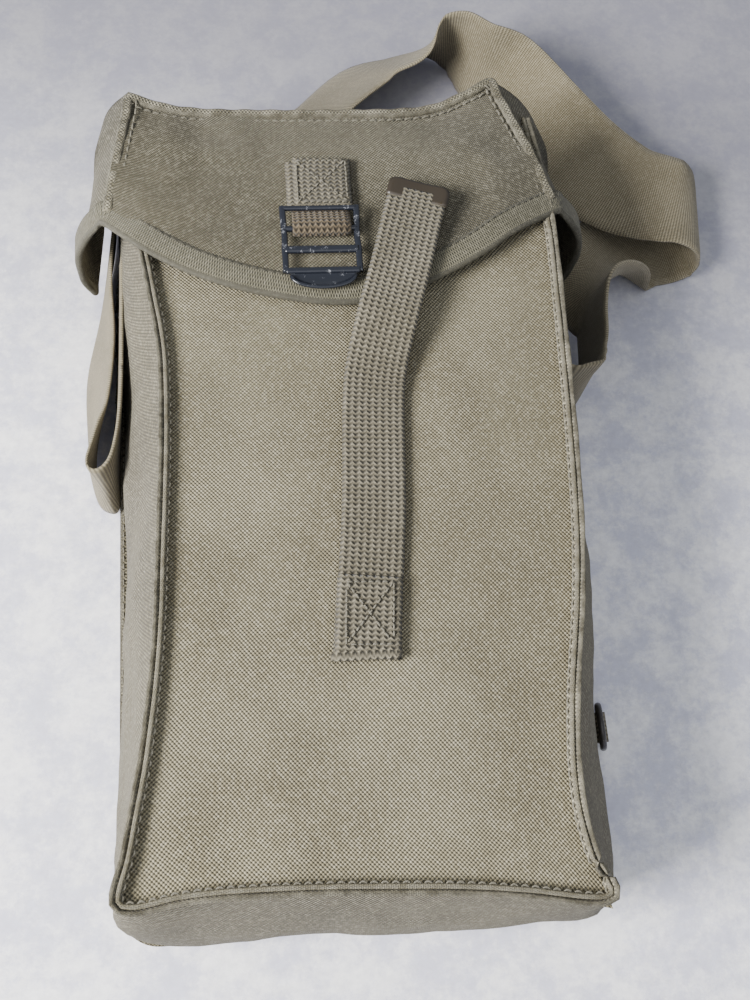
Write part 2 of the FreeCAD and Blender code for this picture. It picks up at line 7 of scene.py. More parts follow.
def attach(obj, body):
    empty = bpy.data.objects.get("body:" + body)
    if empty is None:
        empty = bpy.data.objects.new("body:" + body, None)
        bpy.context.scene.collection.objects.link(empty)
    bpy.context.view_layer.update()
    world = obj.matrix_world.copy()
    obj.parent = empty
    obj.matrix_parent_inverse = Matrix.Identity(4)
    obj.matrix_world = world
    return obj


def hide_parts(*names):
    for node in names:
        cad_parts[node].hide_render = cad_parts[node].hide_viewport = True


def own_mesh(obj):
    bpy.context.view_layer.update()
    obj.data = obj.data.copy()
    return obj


# The looks of a filled canvas carrying bag that lies on its back.
# Lengths are in millimetres until a mesh is made, where MM turns them into metres.
# +X is across the bag, +Y runs up to its flap, +Z comes out of its front.

MM = 0.001
CANVAS = 1.6                 # thickness of the canvas
DEPTH = 88.0                 # back to front
MOUTH = 163.0                # the body's open edge
FOLD = 174.0                 # fold of the flap
WEB = 50.8                   # width of the shoulder strap
THREAD = 0.36                # radius of a stitch
SEAM_POINTS = 300            # along each seam of the body
SIDE_POINTS = 90             # along one side of a seam
EDGE_POINTS = 90             # across the flap's front
HEM_POINTS = 260             # along the flap's binding
LINE_STEPS = 6               # smoothing steps between the shoulder strap's points
ROOM_GREY = (0.80, 0.84, 0.92, 1)
ROOM_STRENGTH = 0.55
CAMERA_PLACE = (-0.04146, -0.17039, 0.4970)  # metres
CAMERA_TURN = (20.7261, -4.8162, -4.4935)   # degrees about X, Y and Z from looking straight down

# Seam round the front panel, from the mouth down the left, along the bottom and up the right
FRONT_LEFT = [(-88, 163), (-87, 120), (-82, 84), (-77, 50), (-76.5, 10), (-78, -30), (-80, -72),
              (-84.5, -110), (-89, -134), (-92.5, -152), (-96, -164)]
FRONT_LOW = [(-88, -163.5), (-67, -161), (-32, -161.5), (0, -163.5), (30, -166), (58, -170)]
FRONT_RIGHT = [(77.5, -176), (74, -163), (70.5, -150), (70, -126), (74, -96), (80, -66), (84.5, -34),
               (87.5, 4), (89.5, 40), (91, 72), (92, 110), (88, 163)]
# The same for the seam round the back
BACK_LEFT = [(-101.5, 163), (-102, 120), (-102, 84), (-101.5, 50), (-101.5, 10), (-101.5, -30),
             (-102, -72), (-102, -110), (-102, -134), (-101.5, -152), (-96, -168)]
BACK_LOW = [(-86, -172.5), (-67, -174), (-32, -174), (0, -174), (30, -174), (58, -174)]
BACK_RIGHT = [(93, -171), (101, -162), (102, -150), (102, -126), (102, -96), (102, -66), (102, -34),
              (102, 4), (102, 40), (102, 72), (102, 110), (101.5, 163)]
# The flap's lower edge on its front, left to right, and its side seams from the fold down
HEM = [(-101, 112, 90), (-89, 100.5, 94.5), (-76, 90.5, 95.4), (-60, 81.5, 95.8), (-40, 74.2, 95.8),
       (-20, 69.4, 95.8), (-3, 67.4, 95.8), (16, 69.5, 95.8), (38, 78.2, 95.8), (59, 90, 95.6),
       (77, 102.6, 95), (97, 114, 90.5)]
FLAP_LEFT = [(-90, 174.5, 95.8), (-94, 152, 95), (-97.5, 133, 93.6), (-101, 112, 90)]
FLAP_RIGHT = [(73, 180, 97), (81, 159, 95.8), (89, 138.5, 94), (97, 114, 90.5)]
# Middle of the free closing strap: across, up the bag, height
CLOSING = [(1.0, -49.7, 89.4), (4.4, -20, 89.9), (7.6, 24, 90.6), (10.6, 42, 93.2),
           (15.6, 59, 99.4), (19.2, 70, 100.8), (23.6, 84, 102.1), (28.6, 101, 103),
           (33.0, 115.5, 103.5)]
# Along the metal tip from the strap's end, and how much of its full width it has there
TIP_SHAPE = [(-5.0, 0.99), (-3.5, 1.0), (-1.5, 1.0), (0.5, 1.0), (2.2, 0.98), (3.4, 0.92), (4.3, 0.78)]
# Middle of the shoulder strap and the way across its width, from one sewn end to the other
SHOULDER = [((-101.4, 117, 30.6), (8, 0, 50)), ((-101.4, 90, 30.6), (8, 0, 50)),
            ((-101.6, 62, 30.8), (8, 0, 50)), ((-101.9, 42, 30.8), (7, 0, 50)),
            ((-102.6, 28, 30.8), (5, 0, 50)), ((-103.8, 19, 30.8), (3, 0, 50)),
            ((-106.2, 14.4, 30.6), (1, 0, 50)), ((-109.4, 14.2, 30.2), (1, 0, 50)),
            ((-112.2, 19, 29.4), (3, 0, 50)), ((-112.9, 31, 27.8), (8, 0, 49)),
            ((-111.8, 50, 25.4), (15, 0, 47.6)), ((-111.2, 82, 24.4), (18, 0, 46.5)),
            ((-108.6, 115, 25.6), (11, 0, 49)), ((-104.8, 150, 26.2), (8, 0, 50)),
            ((-103.4, 176, 26.2), (7, 0, 50)), ((-98.5, 188, 25.8), (5, 6, 50)),
            ((-88, 196, 23.5), (2, 22, 44)), ((-74, 202, 15), (0, 42, 28)),
            ((-58, 206, 3.5), (0, 50, 3)), ((-40, 209, 3.5), (-2, 50, -3)),
            ((-22, 215, 8.5), (-12, 44, -14)), ((-3, 225.5, 17.2), (-25.5, 29, -33)),
            ((26, 252, 18), (-27, 30, -33)), ((47, 260, 20.5), (-20, 32, -39)),
            ((60, 266, 23), (-12, 26, -43)), ((70, 268, 25), (-3, 12, -48)),
            ((79, 264.5, 25), (-4, 2, -48)), ((88, 254.5, 25), (-12, -2, -47)),
            ((102, 245, 23.5), (-20, -12, -43)), ((121, 216, 21), (-28, -22, -34)),
            ((139, 192, 20), (-26, -36, -24)), ((158, 174, 22), (-18, -46, -12)),
            ((176, 165, 26), (-8, -50, -3)), ((184, 161.6, 27), (-6, -50, 0)),
            ((190.5, 159.5, 24.4), (-6, -50, 0)), ((195, 158.4, 18.5), (-6, -50, 0)),
            ((195.6, 158, 11.5), (-6, -50, 0)), ((192, 157, 4.9), (-6, -50, 0)),
            ((185, 156, 1.4), (-4, -50, 0)), ((166, 152, 1.4), (-2, -50, 0)),
            ((149, 142, 5.6), (12, -46, 8)), ((136, 122, 19.5), (22, -26, 36)),
            ((129, 104, 26.2), (4, -4, 50)), ((126.5, 90, 26.4), (0, 0, 50)),
            ((124.4, 74, 26.4), (0, 0, 50)), ((121, 63.6, 26.8), (0, 0, 50)),
            ((116, 57.6, 28.4), (0, 0, 50)), ((110.6, 55.6, 30), (0, 0, 50)),
            ((105.6, 55.6, 30.8), (-5, 0, 50)), ((102.4, 58.6, 30.8), (-7, 0, 50)),
            ((101.6, 62, 30.8), (-8, 0, 50)), ((101.4, 90, 30.6), (-8, 0, 50)),
            ((101.4, 117, 30.6), (-8, 0, 50))]


# ---- curves

def bend(values, share):
    """Catmull-Rom value between the second and third of four neighbours."""
    a, b, c, d = values
    first = (c - a) / 2
    last = (d - b) / 2
    square = 3 * (c - b) - 2 * first - last
    cube = 2 * (b - c) + first + last
    return b + first * share + square * share ** 2 + cube * share ** 3


def smooth(points, steps):
    """Points on a smooth curve through those given."""
    points = [Vector(point) for point in points]
    last = len(points) - 1
    found = []
    for index in range(last):
        near = [points[min(max(index + offset, 0), last)] for offset in (-1, 0, 1, 2)]
        found += [bend(near, step / steps) for step in range(steps)]
    return found + [points[-1]]


def lengths(path):
    """Distance along a path at each of its points."""
    found = [0.0]
    for first, second in zip(path, path[1:]):
        found.append(found[-1] + (second - first).length)
    return found


def at(path, distance):
    """Point and direction at a distance along a path."""
    marks = lengths(path)
    for index in range(len(path) - 1):
        if marks[index + 1] >= distance or index == len(path) - 2:
            run = path[index + 1] - path[index]
            share = (distance - marks[index]) / max(run.length, 1e-6)
            return path[index] + run * share, run.normalized()


def resample(path, count):
    """The same path with evenly spaced points."""
    total = lengths(path)[-1]
    return [at(path, total * step / (count - 1))[0] for step in range(count)]


def rumple(point, scale, amount):
    """Soft unevenness of filled cloth at a place."""
    return noise.noise(Vector(point) / scale) * amount


# ---- meshes

def finish_piece(name, verts, faces, coords, body, slot, material, nodes, thick=0.0, wear=None):
    """Make an object from millimetre points, with cloth coordinates in metres."""
    mesh = bpy.data.meshes.new(name)
    mesh.from_pydata([Vector(vert) * MM for vert in verts], [], faces)
    layer = mesh.uv_layers.new(name="cloth")
    for loop in mesh.loops:
        layer.data[loop.index].uv = Vector(coords[loop.vertex_index]) * MM
    worn = mesh.attributes.new("wear", "FLOAT", "POINT")
    for index in range(len(verts)):
        worn.data[index].value = wear[index] if wear else 0.0
    mesh.shade_smooth()
    mesh.materials.append(material)
    piece = bpy.data.objects.new(name, mesh)
    bpy.context.scene.collection.objects.link(piece)
    if thick:
        shell = piece.modifiers.new("cloth", "SOLIDIFY")
        shell.thickness = thick * MM
        shell.offset = -1
    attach(piece, body)
    if nodes:
        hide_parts(*nodes)
    return piece


def grid(rows, flip=False):
    """Points, faces and cloth coordinates of a surface through rows of points."""
    wide = len(rows[0])
    verts = [point for row in rows for point in row]
    across = [lengths(row) for row in rows]
    down = lengths([row[wide // 2] for row in rows])
    middle = [marks[wide // 2] for marks in across]
    coords = [(across[r][c] - middle[r], down[r]) for r in range(len(rows)) for c in range(wide)]
    faces = []
    for r in range(len(rows) - 1):
        for c in range(wide - 1):
            a = r * wide + c
            face = (a, a + 1, a + wide + 1, a + wide)
            faces.append(tuple(reversed(face)) if flip else face)
    return verts, faces, coords


def ribbon(stations, width, thick, across=8, crown=0.0):
    """A closed band of cloth along stations, each a middle point and the way across."""
    rings = []
    for index, (middle, way) in enumerate(stations):
        run = stations[min(index + 1, len(stations) - 1)][0] - stations[max(index - 1, 0)][0]
        run.normalize()
        side = (way - run * way.dot(run)).normalized()
        up = run.cross(side).normalized()
        ring = []
        for face in (1, -1):
            for step in range(across + 1):
                share = (step / across * 2 - 1) * face
                rise = crown * (1 - share * share) + face * thick / 2 * (1 - 0.35 * share ** 8)
                ring.append(middle + side * (share * width / 2) + up * rise)
        rings.append(ring)
    size = len(rings[0])
    verts = [point for ring in rings for point in ring]
    marks = lengths([middle for middle, way in stations])
    coords = []
    for mark in marks:
        for face in (1, -1):
            coords += [((step / across * 2 - 1) * face * width / 2, mark) for step in range(across + 1)]
    faces = []
    for r in range(len(rings) - 1):
        for c in range(size):
            a = r * size + c
            b = r * size + (c + 1) % size
            faces.append((a, a + size, b + size, b))
    faces.append(tuple(range(size)))
    faces.append(tuple(reversed(range((len(rings) - 1) * size, len(rings) * size))))
    return verts, faces, coords


def sweep(path, side, up, profile):
    """A closed bar along a path; profile points are (towards side, towards up)."""
    verts = []
    coords = []
    size = len(profile)
    marks = lengths(path)
    for index, point in enumerate(path):
        way = side(index) if callable(side) else side
        rise = up(index) if callable(up) else up
        for turn, (out, high) in enumerate(profile):
            verts.append(point + way * out + rise * high)
            coords.append((turn * 1.4, marks[index]))
    faces = []
    for r in range(len(path) - 1):
        for c in range(size):
            a = r * size + c
            b = r * size + (c + 1) % size
            faces.append((a, b, b + size, a + size))
    faces.append(tuple(reversed(range(size))))
    faces.append(tuple(range((len(path) - 1) * size, len(path) * size)))
    return verts, faces, coords


def rounded(wide, high, steps=3, corner=0.45):
    """Profile of a bar with rounded corners, centred on its path."""
    radius = min(wide, high) * corner
    points = []
    for turn, (sx, sy) in enumerate(((1, 1), (-1, 1), (-1, -1), (1, -1))):
        for step in range(steps + 1):
            angle = math.radians(90 * turn + 90 * step / steps)
            points.append((sx * (wide / 2 - radius) + radius * math.cos(angle),
                           sy * (high / 2 - radius) + radius * math.sin(angle)))
    return points


def joined(parts):
    """Several (points, faces, coordinates) as one."""
    verts, faces, coords = [], [], []
    for part_verts, part_faces, part_coords in parts:
        base = len(verts)
        verts += part_verts
        coords += part_coords
        faces += [tuple(index + base for index in face) for face in part_faces]
    return verts, faces, coords


def stitches(path, up, pitch=3.4, size=2.5, radius=THREAD, lift=0.1):
    """A row of separate stitches, each a short thread that dips into the cloth at both ends."""
    parts = []
    total = lengths(path)[-1]
    for index in range(int(total / pitch)):
        middle, run = at(path, pitch * (index + 0.5))
        rise = up(middle) if callable(up) else Vector(up)
        side = run.cross(rise).normalized()
        rise = side.cross(run).normalized()
        wobble = noise.noise(middle / 3.0) * 0.12
        line = [middle + run * (share * size / 2) + side * wobble
                + rise * (lift + radius * (0.9 - 1.6 * share * share)) for share in (-1, -0.5, 0, 0.5, 1)]
        profile = [(radius * math.cos(math.radians(angle)), radius * math.sin(math.radians(angle)))
                   for angle in range(0, 360, 60)]
        parts.append(sweep(line, side, rise, profile))
    return joined(parts)


# ---- materials

class Nodes:
    """Short names for the shader nodes used below."""

    def __init__(self, name):
        self.material = bpy.data.materials.new(name)
        self.material.use_nodes = True
        self.tree = self.material.node_tree
        self.shader = self.tree.nodes["Principled BSDF"]

    def link(self, value, socket):
        if isinstance(value, (int, float, tuple)):
            socket.default_value = value
        else:
            self.tree.links.new(value, socket)

    def math(self, kind, first, second=0.0):
        node = self.tree.nodes.new("ShaderNodeMath")
        node.operation = kind
        self.link(first, node.inputs[0])
        self.link(second, node.inputs[1])
        return node.outputs[0]

    def mix(self, share, first, second):
        node = self.tree.nodes.new("ShaderNodeMix")
        node.data_type = "RGBA"
        self.link(share, node.inputs[0])
        self.link(first, node.inputs[6])
        self.link(second, node.inputs[7])
        return node.outputs[2]

    def place(self, cloth):
        """Across and along the cloth, or the object's own X and Y."""
        if cloth:
            node = self.tree.nodes.new("ShaderNodeUVMap")
            node.uv_map = "cloth"
            source = node.outputs[0]
        else:
            node = self.tree.nodes.new("ShaderNodeTexCoord")
            source = node.outputs["Object"]
        split = self.tree.nodes.new("ShaderNodeSeparateXYZ")
        self.tree.links.new(source, split.inputs[0])
        return split.outputs[0], split.outputs[1]

    def noise(self, scale, detail=3.0, rough=0.55):
        where = self.tree.nodes.new("ShaderNodeTexCoord")
        node = self.tree.nodes.new("ShaderNodeTexNoise")
        node.inputs["Scale"].default_value = scale
        node.inputs["Detail"].default_value = detail
        node.inputs["Roughness"].default_value = rough
        self.tree.links.new(where.outputs["Object"], node.inputs["Vector"])
        return node.outputs[0]

    def ramp(self, value, low, high):
        """0 below low, 1 above high."""
        node = self.tree.nodes.new("ShaderNodeMapRange")
        node.interpolation_type = "SMOOTHSTEP"
        self.link(value, node.inputs[0])
        node.inputs[1].default_value = low
        node.inputs[2].default_value = high
        return node.outputs[0]

    def bump(self, height, distance, strength=1.0):
        node = self.tree.nodes.new("ShaderNodeBump")
        node.inputs["Strength"].default_value = strength
        node.inputs["Distance"].default_value = distance
        self.link(height, node.inputs["Height"])
        self.link(node.outputs[0], self.shader.inputs["Normal"])

    def worn(self):
        node = self.tree.nodes.new("ShaderNodeAttribute")
        node.attribute_name = "wear"
        return node.outputs["Fac"]


def wave(nodes, value, pitch, shift=0.0):
    """A sine of that pitch in metres."""
    turns = nodes.math("MULTIPLY_ADD", value, 2 * math.pi / pitch)
    turns.node.inputs[2].default_value = shift
    return nodes.math("SINE", turns)


def cloth_finish(nodes, weave, dark, light, faded, depth, patch_scale, rough=0.92):
    """Colour, fading, painted shade in the weave's hollows, sheen and relief that every cloth here shares."""
    patches = nodes.ramp(nodes.noise(patch_scale, 5.0, 0.6), 0.36, 0.66)
    base = nodes.mix(patches, dark, light)
    flecks = nodes.ramp(nodes.noise(620.0, 3.0, 0.8), 0.45, 0.66)
    fleck_share = nodes.math("MULTIPLY", flecks, 0.42)
    base = nodes.mix(fleck_share, base, faded)
    rub = nodes.ramp(nodes.noise(160.0, 4.0, 0.7), 0.35, 0.75)
    rubbed = nodes.math("MULTIPLY", nodes.worn(), rub)
    base = nodes.mix(rubbed, base, faded)
    # Painted shade: the hollows between the raised threads are darkened in colour towards a near-black copy
    # of the dark tone.
    hollow_shade = nodes.math("MULTIPLY_ADD", weave, -0.47)
    hollow_shade.node.inputs[2].default_value = 0.47
    shade = nodes.mix(hollow_shade, base, (dark[0] * 0.09, dark[1] * 0.09, dark[2] * 0.09, 1))
    nodes.link(shade, nodes.shader.inputs["Base Color"])
    nodes.shader.inputs["Roughness"].default_value = rough
    nodes.shader.inputs["Specular IOR Level"].default_value = 0.2
    nodes.shader.inputs["Sheen Weight"].default_value = 0.12
    nodes.shader.inputs["Sheen Roughness"].default_value = 0.6
    nodes.bump(weave, depth)
    return nodes.material


def canvas(name, dark, light, faded, pitch=0.00068, depth=0.00022, cloth=True, patch_scale=17.0):
    """Plain-woven duck: raised threads that alternate."""
    nodes = Nodes(name)
    across, along = nodes.place(cloth)
    weave = nodes.math("MULTIPLY", wave(nodes, across, 2 * pitch), wave(nodes, along, 2 * pitch))
    return cloth_finish(nodes, weave, dark, light, faded, depth, patch_scale)


def webbing(name, dark, light, faded, rib=0.0028, step=0.0020, depth=0.00034, slant=1.0, cloth=True):
    """Narrow webbing with chevron ribs running along it."""
    nodes = Nodes(name)
    across, along = nodes.place(cloth)
    column = nodes.math("MULTIPLY", across, 1 / rib)
    tent = nodes.math("PINGPONG", column, 0.5)
    skew = nodes.math("MULTIPLY", tent, 2 * math.pi * slant)
    turns = nodes.math("MULTIPLY_ADD", along, 2 * math.pi / step)
    nodes.link(skew, turns.node.inputs[2])
    chevron = nodes.math("SINE", turns)
    groove = nodes.math("COSINE", nodes.math("MULTIPLY", across, 2 * math.pi / rib))
    weave = nodes.math("ADD", nodes.math("MULTIPLY", chevron, 0.6), nodes.math("MULTIPLY", groove, 0.4))
    return cloth_finish(nodes, weave, dark, light, faded, depth, 30.0)


def metal(name, base, bare, scale, amount, rough, bare_rough):
    """Painted or tarnished metal that is worn through in places."""
    nodes = Nodes(name)
    chips = nodes.ramp(nodes.noise(scale, 6.0, 0.75), amount, amount + 0.06)
    nodes.link(nodes.mix(chips, base, bare), nodes.shader.inputs["Base Color"])
    nodes.link(chips, nodes.shader.inputs["Metallic"])
    spread = nodes.math("MULTIPLY_ADD", chips, bare_rough - rough)
    spread.node.inputs[2].default_value = rough
    nodes.link(spread, nodes.shader.inputs["Roughness"])
    nodes.shader.inputs["Coat Weight"].default_value = 0.25
    nodes.bump(nodes.noise(scale * 1.7, 4.0, 0.6), 0.00012)
    return nodes.material


# Lit and shaded copies of the bag's one olive duck: the front panel's copy is painted lighter, standing in
# for the light that falls on it.
LIT_PANEL_CLOTH = canvas("lit_panel_duck", (0.295, 0.255, 0.152, 1), (0.440, 0.392, 0.250, 1),
                     (0.80, 0.74, 0.56, 1), pitch=0.00080, depth=0.0004)
# The gusset's and back's copies are painted darker than the front panel's, as shade on the sides that face
# away from the light.
SHADED_OLIVE = canvas("shaded_olive_duck", (0.134, 0.116, 0.069, 1), (0.200, 0.176, 0.109, 1),
               (0.62, 0.57, 0.42, 1), pitch=0.00078, depth=0.0003)
SHADED_OLIVE_PLAIN = canvas("shaded_olive_duck_plain", (0.134, 0.116, 0.069, 1), (0.200, 0.176, 0.109, 1),
                     (0.62, 0.57, 0.42, 1), cloth=False)
# The flap's copy is also painted darker than the front panel's, as shade at the top of the bag where less
# light falls.
SHADED_FLAP_CLOTH = canvas("shaded_flap_duck", (0.120, 0.106, 0.064, 1), (0.196, 0.174, 0.110, 1),
                    (0.55, 0.51, 0.38, 1), pitch=0.00076, depth=0.0003)
BINDING = canvas("edge_binding", (0.140, 0.130, 0.084, 1), (0.205, 0.190, 0.128, 1),
                 (0.42, 0.39, 0.29, 1), pitch=0.00055)
WEBBING = webbing("narrow_webbing", (0.150, 0.132, 0.088, 1), (0.222, 0.198, 0.140, 1),
                  (0.44, 0.40, 0.30, 1), depth=0.0005)
LOOP_WEB = webbing("tab_webbing", (0.088, 0.067, 0.040, 1), (0.150, 0.117, 0.073, 1),
                   (0.34, 0.26, 0.17, 1), rib=0.0024, depth=0.0005)
WEB_PLAIN = webbing("ring_webbing", (0.13, 0.11, 0.065, 1), (0.19, 0.165, 0.105, 1),
                    (0.36, 0.32, 0.22, 1), cloth=False)
TAN = webbing("wide_webbing", (0.275, 0.236, 0.150, 1), (0.345, 0.300, 0.198, 1),
              (0.50, 0.45, 0.33, 1), rib=0.0009, step=0.0011, depth=0.00008, slant=0.5)
COTTON = canvas("cotton_thread", (0.48, 0.44, 0.32, 1), (0.60, 0.56, 0.43, 1),
                (0.68, 0.64, 0.52, 1), pitch=0.0004)
BLACK = metal("worn_black_enamel", (0.010, 0.012, 0.018, 1), (0.42, 0.43, 0.46, 1), 260.0, 0.60, 0.22, 0.38)
BRASS = metal("dark_brass", (0.024, 0.017, 0.009, 1), (0.060, 0.044, 0.022, 1), 90.0, 0.60, 0.55, 0.50)
STEEL = metal("dark_ring", (0.020, 0.016, 0.014, 1), (0.20, 0.17, 0.14, 1), 200.0, 0.58, 0.40, 0.45)


# ---- the body

def perimeter(left, low, right, height):
    """Seam from the mouth down the left side, along the bottom and up the right side."""
    sides = []
    for part, count in ((left, SIDE_POINTS), (low, 44), (right, SIDE_POINTS)):
        path = smooth([(x, y, height) for x, y in part], 8)
        sides.append(resample(path, count))
    return sides


def round_seam(left, low, right):
    """One even path through the three parts of a seam, with its corners softened."""
    return resample(smooth(left[:-1:4] + low[::4] + right[1::4] + [right[-1]], 5), SEAM_POINTS)


def outward(path):
    """Level direction out of the bag, square to its seam, at each point."""
    ways = []
    for index, point in enumerate(path):
        run = path[min(index + 1, len(path) - 1)] - path[max(index - 1, 0)]
        way = Vector((run.y, -run.x, 0)).normalized()
        ways.append(way if way.dot(point) > 0 else -way)
    return ways


front_left, front_low, front_right = perimeter(FRONT_LEFT, FRONT_LOW, FRONT_RIGHT, DEPTH)
back_left, back_low, back_right = perimeter(BACK_LEFT, BACK_LOW, BACK_RIGHT, CANVAS)
front_seam = round_seam(front_left, front_low, front_right)
back_seam = round_seam(back_left, back_low, back_right)
front_out = outward(front_seam)
back_out = outward(back_seam)


def make_gusset():
    """Long wall round the sides and bottom, with its turned edges along both seams."""
    rows = []
    steps = 18
    for step in range(steps + 1):
        share = step / steps
        row = []
        for index in range(SEAM_POINTS):
            base = back_seam[index].lerp(front_seam[index], share)
            low_end = 1.0 if abs(back_out[index].y) > 0.7 else 0.0
            swell = (6.0 + 2.0 * low_end) * 4 * share * (1 - share)
            swell += rumple(base, 38.0, 3.0) * math.sin(math.pi * share)
            swell += rumple(base + Vector((0, 0, 300)), 13.0, 0.9) * math.sin(math.pi * share)
            row.append(base + back_out[index] * swell)
        rows.append(row)
    wall = grid(rows, flip=True)
    size = len(wall[0])
    lean = [(way * 0.28 + Vector((0, 0, 1))).normalized() for way in front_out]
    line = [point + way * 0.9 + Vector((0, 0, 2.2 + 0.5 * math.sin(index * 0.5)))
            for index, (point, way) in enumerate(zip(front_seam, front_out))]
    lip = sweep(line, lambda i: front_out[i], lambda i: lean[i], rounded(1.7, 5.4))
    foot = [point + way * 1.2 + Vector((0, 0, 0.9)) for point, way in zip(back_seam, back_out)]
    flange = sweep(foot, lambda i: back_out[i], Vector((0, 0, 1)), rounded(3.4, 1.5))
    verts, faces, coords = joined([wall, lip, flange])
    wear = [0.0] * size + [0.85] * len(lip[0]) + [0.4] * len(flange[0])
    return finish_piece("gusset", verts, faces, coords, "bag", "canvas", SHADED_OLIVE, ["gusset"], wear=wear)


def make_front_panel():
    """Front face inside its seam, and its own turned edge beside the gusset's."""
    rows = []
    columns = 60
    ends = [front_left[-1]] + front_low[2:-2:3] + [front_right[0]]
    low_edge = resample(smooth(ends, 5), columns + 1)
    for step in range(SIDE_POINTS):
        share = step / (SIDE_POINTS - 1)
        left = front_left[step]
        right = front_right[-1 - step]
        row = []
        for column in range(columns + 1):
            across = column / columns
            low = low_edge[column]
            point = left.lerp(right, across)
            point += (low - front_left[-1].lerp(front_right[0], across)) * share ** 6
            edge = min(across, 1 - across) * 8
            calm = min(1.0, edge)
            point.z = DEPTH - 0.5 + rumple(point, 46.0, 1.1) * calm + rumple(point, 15.0, 0.35) * calm
            point.z = min(point.z, DEPTH + 0.2)
            row.append(point)
        rows.append(row)
    sheet = grid(rows)
    lean = [(way * 0.12 + Vector((0, 0, 1))).normalized() for way in front_out]
    line = [point - way * 1.0 + Vector((0, 0, 2.0)) for point, way in zip(front_seam, front_out)]
    lip = sweep(line, lambda i: front_out[i], lambda i: lean[i], rounded(1.7, 4.8))
    verts, faces, coords = joined([sheet, lip])
    wear = [0.06] * len(sheet[0]) + [0.75] * len(lip[0])
    return finish_piece("front_panel", verts, faces, coords, "bag", "canvas", LIT_PANEL_CLOTH, ["front_panel"],
                        wear=wear)


def make_body_stitches():
    """Stitches beside the front seam, through the back seam and along the mouth's hem."""
    inner = [point - way * 2.0 + Vector((0, 0, 2.8)) for point, way in zip(front_seam, front_out)]
    facing = [way * -1 for way in front_out]

    def toward(middle):
        near = min(range(0, SEAM_POINTS, 3), key=lambda i: (inner[i] - middle).length_squared)
        return facing[near]

    row = stitches(inner, toward, pitch=3.8, size=2.7, radius=0.45)
    finish_piece("front_seam_stitches", *row, "bag", "stitching", COTTON, ["front_seam_thread"])
    outer = [point + way * 1.6 + Vector((0, 0, 1.7)) for point, way in zip(back_seam, back_out)]
    row = stitches(outer, (0, 0, 1), pitch=3.8, size=2.7)
    finish_piece("back_seam_stitches", *row, "bag", "stitching", COTTON, ["back_seam_thread"])
    mouth = [Vector((x, MOUTH - 9, DEPTH - 0.2)) for x in range(-76, 77, 4)]
    row = stitches(mouth, (0, 0, 1), pitch=3.8, size=2.7)
    finish_piece("mouth_hem_stitches", *row, "bag", "stitching", COTTON, ["mouth_hem_thread"])


# ---- the flap

def ease(share):
    """Smooth step from 0 to 1."""
    share = min(1.0, max(0.0, share))
    return share * share * (3 - 2 * share)


hem_line = resample(smooth(HEM, 8), EDGE_POINTS)
flap_left = resample(smooth(FLAP_LEFT, 8), 40)
flap_right = resample(smooth(FLAP_RIGHT, 8), 40)
flap_top = resample(smooth([FLAP_LEFT[0], (-78, 170.5, 93.4), (-60, 168.5, 91.2), (-30, 168, 90.4),
                            (0, 168, 90.2), (28, 168, 90.6), (46, 169.2, 92), (61, 174.5, 95),
                            FLAP_RIGHT[0]], 8), EDGE_POINTS)


def flap_surface(across, down):
    """A point of the flap's front: 0 to 1 from left to right and from fold to edge."""
    column = across * (EDGE_POINTS - 1)
    first = int(min(column, EDGE_POINTS - 2))
    share = column - first
    top = flap_top[first].lerp(flap_top[first + 1], share)
    low = hem_line[first].lerp(hem_line[first + 1], share)
    place = down * 39
    row = int(min(place, 38))
    left = flap_left[row].lerp(flap_left[row + 1], place - row)
    right = flap_right[row].lerp(flap_right[row + 1], place - row)
    straight_left = flap_left[0].lerp(flap_left[-1], down)
    straight_right = flap_right[0].lerp(flap_right[-1], down)
    point = top.lerp(low, down)
    point += (left - straight_left) * (1 - across) + (right - straight_right) * across
    level = 95.8 - (95.8 - top.z) * (1 - ease(down / 0.34)) - (95.8 - low.z) * ease((down - 0.6) / 0.4)
    edge = min(across, 1 - across, down + 0.06) * 9
    calm = min(1.0, edge) * (1 - 0.75 * math.exp(-((point.x - 5) / 38) ** 2))
    point.z = level + rumple(point, 30.0, 2.4) * calm + rumple(point, 11.0, 0.9) * calm
    if down < 0.9:
        point.z += 0.6 * math.sin(math.pi * across) * (1 - down)
    return point


def make_flap_front():
    """Front cloth of the flap, its raised seam and the stitching beside it."""
    rows = [[flap_surface(column / 88, row / 60) for column in range(89)] for row in range(61)]
    sheet = grid(rows)
    wear = [0.35 * max(0.0, 1 - row / 8) for row in range(61) for column in range(89)]
    seam = list(reversed(flap_left))[3:] + flap_top[1:] + flap_right[1:37]
    seam = resample(smooth(seam[::5] + [seam[-1]], 6), 220)
    centre = Vector((-5, 120, 95))
    side = []
    for index in range(220):
        run = (seam[min(index + 1, 219)] - seam[max(index - 1, 0)]).normalized()
        way = run.cross(Vector((0, 0, 1))).normalized()
        side.append(way if way.dot(seam[index] - centre) > 0 else -way)
    line = [point - way * 1.2 + Vector((0, 0, 0.5 + 0.3 * math.sin(index * 0.7)))
            for index, (point, way) in enumerate(zip(seam, side))]
    ridge = sweep(line, lambda i: side[i], Vector((0, 0, 1)), rounded(4.4, 2.6))
    piece = finish_piece("flap_front", *joined([sheet, ridge]), "flap", "canvas", SHADED_FLAP_CLOTH,
                         ["flap_front"], wear=wear + [0.9] * len(ridge[0]))
    inner = []
    for point, way in zip(seam, side):
        place = point - way * 5.2
        inner.append(place + Vector((0, 0, 0.35 + 0.1 * (place.x + 95) / 180)))
    row = stitches(inner, (0, 0, 1), pitch=4.0, size=3.0, radius=0.42, lift=0.5)
    finish_piece("flap_seam_stitches", *row, "flap", "stitching", COTTON, ["flap_seam_thread"])
    return piece


